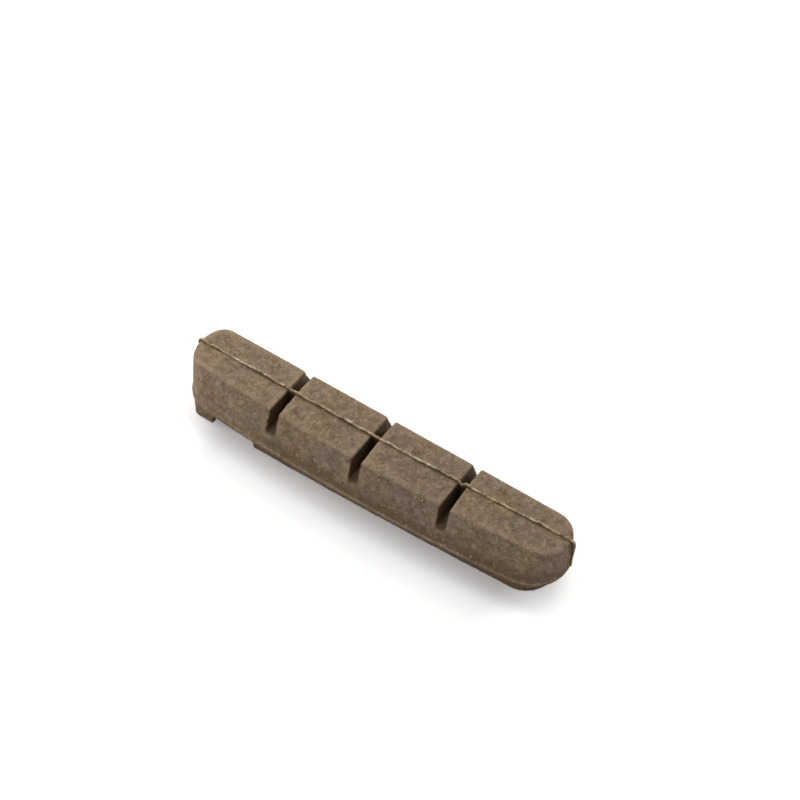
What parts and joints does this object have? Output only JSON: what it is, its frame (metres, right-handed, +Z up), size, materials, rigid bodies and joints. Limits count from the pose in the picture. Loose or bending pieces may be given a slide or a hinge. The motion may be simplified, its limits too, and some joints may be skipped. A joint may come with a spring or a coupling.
{
  "type": "bicycle rim brake pad",
  "caption": "Slim cork-compound rim brake pad insert with a grooved braking face, a T-section rail along its back, and a waist and end key that lock it in a shoe.",
  "frame": {"origin": "middle of the pad's length, on the rail's back and on the rail's centre plane", "axes": "+X from the heel, where the key is, to the nose; +Y across to the straight side of the braking face; +Z up from the rail's back to the braking face"},
  "size_m": [0.0556, 0.0118, 0.0095],
  "materials": {
    "cork_compound": "matt grey-brown moulded cork and rubber, with pale and golden grains"
  },
  "bodies": {
    "root": {"brake_pad": "cork_compound"}
  },
  "joints": []
}
